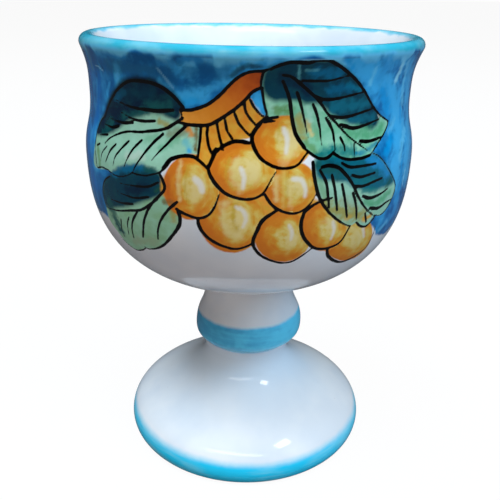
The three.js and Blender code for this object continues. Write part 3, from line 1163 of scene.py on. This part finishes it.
def makeBowlGlaze(look):
    material, wire = newMaterial("bowlGlaze")
    run = attribute(wire, "run") - float(outerRun[-1])  # mm up from where the lip starts to roll
    wobble = cloud(wire, 6, 2) - 0.5
    fineWobble = cloud(wire, 1.6, 2) - 0.5
    outside = 1 - (run - look["lipEnd"] + wobble * 2.5).step(-0.9, 0.9)

    # blue ground, brushed on wet in soft dabs
    streaks = cloud(wire, 8, 3, (1, 1, 2))
    upright = cloud(wire, 9, 3, (2.2, 2.2, 0.8), shift=4)
    brushed = dabs(wire, look["dabWidth"], look["dabHeight"])
    tone = brushed * 0.25 + streaks * 0.4 + upright * 0.35
    groundStops = [(place, paint(code)) for place, code in look["groundStops"]]
    ground = tone.step(0.25, 0.75).ramp(groundStops)
    touched = attribute(wire, "groundTouch", "Alpha") * (0.7 + tone * 0.7).lesser(1)
    ground = touched.mix(ground, attribute(wire, "groundTouch", "Color"))
    ground = (tone.step(0.5, 0.68) * 0.3).mix(ground, mixed("sky"))
    ground = (0.15 - tone.step(0.34, 0.5) * 0.15).mix(ground, mixed("navy"))
    ringEdge = wobble * 4 + fineWobble * 0.8 + (brushed - 0.5) * 4
    paleRing = (run + look["paleReach"] + ringEdge).step(-1.0, 1.2)
    ground = (paleRing * look["paleShare"]).mix(ground, mixed("paleSky"))
    edge = attribute(wire, "ground") + wobble * 2 + fineWobble * 1.2
    covered = edge.step(-0.5, 0.6) * outside
    colour = covered.mix(whiteGlazeColour(wire), ground)

    # turquoise lip, paler in random streaks, with a painted highlight in glint colour along its crest
    lipShare = (run - look["lipStart"] + wobble * 2).step(-0.8, 0.6) * outside
    streakAndGlint = streaks.step(0.35, 0.7) * 0.42 + run.step(4.5, 6.0) * 0.35
    lipColour = streakAndGlint.mix(mixed("turquoise"), mixed("glint"))
    colour = lipShare.mix(colour, lipColour)

    def wash(under, depth, over, soft=0.3):
        return (depth + fineWobble * 0.5).step(-soft, soft).mix(under, over)

    leafTone = cloud(wire, 4, 3, (1, 1, 1.6), shift=2) - 0.5
    leafTouch = attribute(wire, "leafTouch", "Color")
    leafTouched = (attribute(wire, "leafTouch", "Alpha") * (1 + leafTone)).lesser(1)

    def leaf(under, name):
        paleDepth = attribute(wire, name + "Pale")
        darkDepth = attribute(wire, name + "Dark")
        palePaint, darkPaint = [mixed(wanted) for wanted in look["leafPaints"][name]]
        pale = (leafTone * 2 + 0.3).greater(0).lesser(1).mix(palePaint, mixed("paleMint"))
        dark = (leafTone * 1.4 + 0.08).greater(0).lesser(1).mix(darkPaint, mixed("bottle"))
        pale = leafTouched.mix(pale, leafTouch)
        dark = leafTouched.mix(dark, leafTouch)
        under = wash(under, paleDepth, pale)
        return wash(under, darkDepth + leafTone * 0.8, dark, 0.9)

    # leaves behind the bunch, then grapes and stalk, then leaves before them
    colour = leaf(colour, "leafUpperLeft")
    colour = leaf(colour, "leafLowerLeft")

    side, top, grapeDepth = vectorParts(wire, "grape")
    reach = (side * side + top * top).root()
    # brush marks that go round each grape
    ring = reach + 0.1
    around = wire.node("CombineXYZ", None, {0: side / ring * 1.2, 1: top / ring * 1.2, 2: reach * 4})
    rings = wire.node("TexNoise", None, {"Vector": around, "Scale": 1.0, "Detail": 3.0})
    blots = cloud(wire, 2.6, 3, shift=5)
    toRight = side - 0.28
    fromShine = (toRight * toRight + top * top).root()
    ripeness = fromShine * 0.95 + (rings - 0.5) * 1.2 + (blots - 0.5) * 0.6
    grapeStops = [(place, mixed(name)) for place, name in look["grapeStops"]]
    grape = ripeness.step(0.0, 1.2).ramp(grapeStops)
    grapeTouched = (attribute(wire, "grapeTouch", "Alpha") * (0.7 + blots * 0.6)).lesser(1)
    grape = grapeTouched.mix(grape, attribute(wire, "grapeTouch", "Color"))
    shine = 1 - (attribute(wire, "bare") + fineWobble * 0.5).step(-0.7, 0.4)
    grape = (shine * 0.85).mix(grape, mixed("bare"))
    paleInBand = blots.step(0.35, 0.65).mix(mixed("apricot"), mixed("gold"))
    colour = wash(colour, attribute(wire, "between") + wobble * 2, paleInBand, 0.6)
    colour = wash(colour, grapeDepth, grape)

    stalkDepth, pedicelDepth, along = vectorParts(wire, "stalk")
    pedicel = blots.step(0.3, 0.7).mix(mixed("gold"), mixed("amber"))
    colour = wash(colour, pedicelDepth, pedicel)
    stalkStops = [(place, mixed(name)) for place, name in look["stalkStops"]]
    stalk = (along + (blots - 0.5) * 0.4).ramp(stalkStops)
    colour = wash(colour, stalkDepth, stalk)

    colour = leaf(colour, "leafLowerRight")
    colour = leaf(colour, "leafUpperRight")

    inked = 1 - (attribute(wire, "ink") + fineWobble * 0.3).step(-0.1, 0.1)
    colour = inked.mix(colour, mixed("ink"))
    glossyGlaze(wire, colour, inked * look["inkRoughness"], inked * look["inkRelief"])
    return material


bowl = addPiece("paintedBowl", bowlShape, "bowl", makeBowlGlaze(bowlGlaze))
paintBowl(bowl.data)


# The stem: a waisted tube with a round knop, and the clay rings that lute it to the bowl and the foot
stemSizes = {
    "boreRadius": 9.0,
    "lowerNeck": 15.0,
    "upperNeck": 15.2,
    "knopRadius": 19.1,
    "knopHeight": 8.2,  # from the stem's lower end
    "knopBore": 13.0,
    "neckTightness": 0.7,
    "shoulderEase": 0.42,
    "upperNeckEase": 0.66,
    "lean": 0.9,  # mm that the knop sits off the axis
    "spacing": 0.6,
    "boreSpacing": 2.0,
    "columns": 144,
    "wedges": 8,
}


def makeStemShape(sizes):
    base, top = nodeSpan("knopped_stem")
    knop = (sizes["knopRadius"], base + sizes["knopHeight"])
    knopBore = (sizes["knopBore"], knop[1])
    lower = rise((sizes["lowerNeck"], base), knop, sizes["neckTightness"])
    upper = rise(knop, (sizes["upperNeck"], top), sizes["shoulderEase"], 0.0, sizes["upperNeckEase"])
    boreUpper = rise(knopBore, (sizes["boreRadius"], top))
    boreLower = rise((sizes["boreRadius"], base), knopBore)
    outer = joinLines(evenly(lower, sizes["spacing"]), evenly(upper, sizes["spacing"]))
    boreLines = [evenly(line[::-1], sizes["boreSpacing"]) for line in (boreUpper, boreLower)]
    shape = turnRing(joinLines(outer, *boreLines), sizes)
    for vert in shape.verts:
        share = min(max((vert.co.z / mm - base) / (top - base), 0), 1)
        vert.co.x += sizes["lean"] * mm * 4 * share * (1 - share)
    return shape


def makeUpperRingShape(sizes, seatRadius):
    base, top = nodeSpan("upper_luting_ring")
    coveSize = (seatRadius - sizes["upperNeck"], top - base)
    cove = arc((seatRadius, base), coveSize, math.pi, math.pi / 2, steps=8)
    bore = [(sizes["boreRadius"], top), (sizes["boreRadius"], base)]
    return turnRing(joinLines(cove, bore), sizes)


def makeLowerRingShape(sizes):
    base, top = nodeSpan("lower_luting_ring")
    outer = [(sizes["lowerNeck"], base), (sizes["lowerNeck"], top)]
    bore = [(sizes["boreRadius"], top), (sizes["boreRadius"], base)]
    return turnRing(outer + bore, sizes)


stemGlaze = {
    "bandLow": 34.0,  # mm above the table
    "bandHigh": 45.4,
    "bandSoftness": 0.7,  # mm
    "bandSlope": 0.03,  # rise of its upper edge to the right
    # two tones of the band's wash; the light one also gives a painted light on the right side
    "bandDark": "4CAEDE",
    "bandLight": "68DEFF",
}


def makeStemGlaze(look):
    material, wire = newMaterial("stemGlaze")
    side, height = sideAndHeight(wire)
    wobble = (cloud(wire, 9, 2) - 0.5) * 1.2 + (cloud(wire, 1.5, 2) - 0.5) * 0.3
    tone = cloud(wire, 9, 3, (1, 1, 6)) * 0.6 + cloud(wire, 2.5, 2, shift=6) * 0.4
    # mixed at random, and paler to the right as painted light falling from that side
    band = (tone + side * 0.014).step(0.2, 0.8).mix(paint(look["bandDark"]), paint(look["bandLight"]))
    level = height + wobble
    soft = look["bandSoftness"]
    inBand = level.step(look["bandLow"] - soft, look["bandLow"] + soft)
    level = level - side * look["bandSlope"]
    inBand = inBand * (1 - level.step(look["bandHigh"] - soft, look["bandHigh"] + soft))
    glossyGlaze(wire, inBand.mix(neckShadedGlazeColour(wire, height), band))
    return material


def makeJointGlaze():
    material, wire = newMaterial("jointGlaze")
    height = sideAndHeight(wire)[1]
    glossyGlaze(wire, neckShadedGlazeColour(wire, height))
    return material


jointGlaze = makeJointGlaze()
stem = makeStemShape(stemSizes)
addPiece("knoppedStem", stem, "knopped_stem", makeStemGlaze(stemGlaze))
upperRing = makeUpperRingShape(stemSizes, bowlSizes["seatRadius"])
addPiece("upperLutingRing", upperRing, "upper_luting_ring", jointGlaze)
lowerRing = makeLowerRingShape(stemSizes)
addPiece("lowerLutingRing", lowerRing, "lower_luting_ring", jointGlaze)


# The foot: a hollow bell that stands on a flat ring
footSizes = {
    "radius": 43.0,
    "edgeHeight": 4.0,
    "ringRadius": 40.0,
    "ringWidth": 4.5,
    "hollowHeight": 27.0,
    "bellEase": 0.42,
    "spacing": 0.7,
    "hollowSpacing": 2.0,
    "columns": 192,
    "wedges": 8,
}


def makeFootShape(sizes, stem):
    base, top = nodeSpan("bell_foot")
    edgeCentre = (sizes["ringRadius"], base + sizes["edgeHeight"])
    edgeSize = (sizes["radius"] - sizes["ringRadius"], sizes["edgeHeight"])
    edge = arc(edgeCentre, edgeSize, -math.pi / 2, 0)
    bell = rise(edge[-1], (stem["lowerNeck"], top), sizes["bellEase"])
    ringInner = (sizes["ringRadius"] - sizes["ringWidth"], base)
    hollow = rise(ringInner, (stem["boreRadius"], base + sizes["hollowHeight"]), sizes["bellEase"])
    outer = joinLines([ringInner], evenly(edge, sizes["spacing"]), evenly(bell, sizes["spacing"]))
    inner = joinLines([(stem["boreRadius"], top)], evenly(hollow[::-1], sizes["hollowSpacing"])[:-1])
    return turnRing(joinLines(outer, inner), sizes)


footGlaze = {
    "bandTop": 8.0,  # mm above the table
    "band": "24D0F8",
    "bandPale": "7EDCF6",
    "clay": "C9A98A",  # bare where the foot was wiped to stand in the kiln
    "clayDark": "B08F70",
    "clayRoughness": 0.6,
}


def makeFootGlaze(look):
    material, wire = newMaterial("footGlaze")
    side, height = sideAndHeight(wire)
    wobble = (cloud(wire, 16, 2) - 0.5) * 1.6 + (cloud(wire, 2, 2) - 0.5) * 0.4
    tone = cloud(wire, 14, 3, (1, 1, 7))
    # paler in random patches and towards the left and right sides
    paleInBand = (tone + side.absolute() * 0.007).step(0.5, 0.95)
    band = paleInBand.mix(paint(look["band"]), paint(look["bandPale"]))
    inBand = 1 - (height + wobble).step(look["bandTop"] - 1.6, look["bandTop"] + 1.2)
    colour = inBand.mix(neckShadedGlazeColour(wire, height + wobble * 3), band)
    wiped = 1 - height.step(0.15, 0.5)
    clay = cloud(wire, 1.2, 3).step(0.3, 0.7).mix(paint(look["clay"]), paint(look["clayDark"]))
    glossyGlaze(wire, wiped.mix(colour, clay), wiped * look["clayRoughness"])
    return material


foot = makeFootShape(footSizes, stemSizes)
addPiece("bellFoot", foot, "bell_foot", makeFootGlaze(footGlaze))


# Studio: a pale floor, soft lamps and a white surround
studio = {
    "floorWidth": 60.0,  # metres
    "floorWhite": "F4F5F6",
    "floorBounce": "887E7C",  # what the floor sends back up to the goblet
    "floorGlow": 0.95,  # share of the floor's white that no shadow takes away
    "floorGlossy": "303234",
    "floorGloss": 0.06,  # share of that white in the goblet's reflections
    "surround": 0.02,  # light from the surround
    "surroundTint": "F2F6FA",
    # lamps round the goblet: degrees right of the front and up from level, metres away, width and
    # height. The large ones aren't mirrored: they would be hard-edged patches in the foot's gloss
    "lamps": {
        "ceilingSoftbox": {
            "turn": 0, "rise": 88, "away": 1.6,
            "size": (2.0, 1.8), "power": 20, "tint": "FFFAF0", "mirrored": False,
        },
        "frontSoftbox": {
            "turn": 0, "rise": 70, "away": 1.6,
            "size": (3.0, 0.8), "power": 9.3, "tint": "E4F2FF", "mirrored": False,
        },
        "leftSkylight": {
            "turn": -75, "rise": 72, "away": 1.6,
            "size": (1.0, 0.5), "power": 15, "tint": "BFE2FF", "mirrored": False,
        },
        "rightWindow": {
            "turn": 65, "rise": 33, "away": 1.6,
            "size": (1.0, 0.7), "power": 13, "tint": "BFE2FF", "mirrored": False,
        },
        "frontFill": {
            "turn": 10, "rise": 33, "away": 1.6,
            "size": (3.0, 0.7), "power": 3.2, "tint": "FFF0E0", "mirrored": False,
        },
        "lowFill": {
            "turn": -40, "rise": 6, "away": 1.6,
            "size": (1.2, 0.3), "power": 2.4, "tint": "FFECDC", "mirrored": False,
        },
        "ceilingTube": {
            "turn": -12, "rise": 51, "away": 1.2,
            "size": (0.95, 0.1), "power": 1.2, "tint": "FFFFFF", "mirrored": True,
        },
        "ceilingSpot": {
            "turn": 54, "rise": 55, "away": 1.2,
            "size": (0.24, 0.14), "power": 1.3, "tint": "FFFFFF", "mirrored": True,
        },
    },
}


def makeFloor(look):
    shape = bmesh.new()
    bmesh.ops.create_grid(shape, x_segments=1, y_segments=1, size=look["floorWidth"] / 2)
    mesh = bpy.data.meshes.new("studioFloor")
    shape.to_mesh(mesh)
    shape.free()
    floor = bpy.data.objects.new("studioFloor", mesh)
    bpy.context.scene.collection.objects.link(floor)
    material, wire = newMaterial("paleFloor")
    matt = wire.node("BsdfDiffuse", None, {"Color": paint(look["floorWhite"])})
    glow = wire.node("Emission", None, {"Color": paint("FFFFFF"), "Strength": 1.0})
    white = wire.node("MixShader", None, {0: look["floorGlow"], 1: matt, 2: glow})
    bounce = wire.node("BsdfDiffuse", None, {"Color": paint(look["floorBounce"])})
    rays = ("Is Camera Ray", "Is Glossy Ray", "Is Transmission Ray")
    seen, glossy, through = [wire.node("LightPath", output=ray) for ray in rays]
    dim = wire.node("BsdfDiffuse", None, {"Color": paint(look["floorGlossy"])})
    share = seen.greater(through).greater(glossy * look["floorGloss"])
    surface = wire.node("MixShader", None, {0: glossy, 1: bounce, 2: dim})
    surface = wire.node("MixShader", None, {0: share, 1: surface, 2: white})
    wire.node("OutputMaterial", None, {"Surface": surface})
    mesh.materials.append(material)


def makeSurround(look):
    world = bpy.data.worlds.new("studioSurround")
    world.use_nodes = True
    world.node_tree.nodes.clear()
    wire = Wire(world.node_tree)
    sockets = {"Color": paint(look["surroundTint"]), "Strength": look["surround"]}
    soft = wire.node("Background", None, sockets)
    white = wire.node("Background", None, {"Color": paint("FFFFFF"), "Strength": 1.0})
    seen = wire.node("LightPath", output="Is Camera Ray")
    surface = wire.node("MixShader", None, {0: seen, 1: soft, 2: white})
    wire.node("OutputWorld", None, {"Surface": surface})
    bpy.context.scene.world = world


def addLamp(name, lamp, target):
    data = bpy.data.lights.new(name, "AREA")
    data.shape = "RECTANGLE"
    data.size, data.size_y = lamp["size"]
    data.energy = lamp["power"]
    data.color = paint(lamp["tint"])[:3]
    light = bpy.data.objects.new(name, data)
    toLamp = Vector((0, -1, 0))
    toLamp.rotate(Matrix.Rotation(-math.radians(lamp["rise"]), 3, "X"))
    toLamp.rotate(Matrix.Rotation(math.radians(lamp["turn"]), 3, "Z"))
    light.location = target + toLamp * lamp["away"]
    light.visible_glossy = lamp["mirrored"]
    light.rotation_euler = toLamp.to_track_quat("Z", "Y").to_euler()
    bpy.context.scene.collection.objects.link(light)


makeFloor(studio)
makeSurround(studio)
for lampName, lamp in studio["lamps"].items():
    addLamp(lampName, lamp, (cadBox[0] + cadBox[1]) / 2)
bpy.context.scene.view_settings.view_transform = "Standard"
print("studio lit by", len(studio["lamps"]), "lamps")
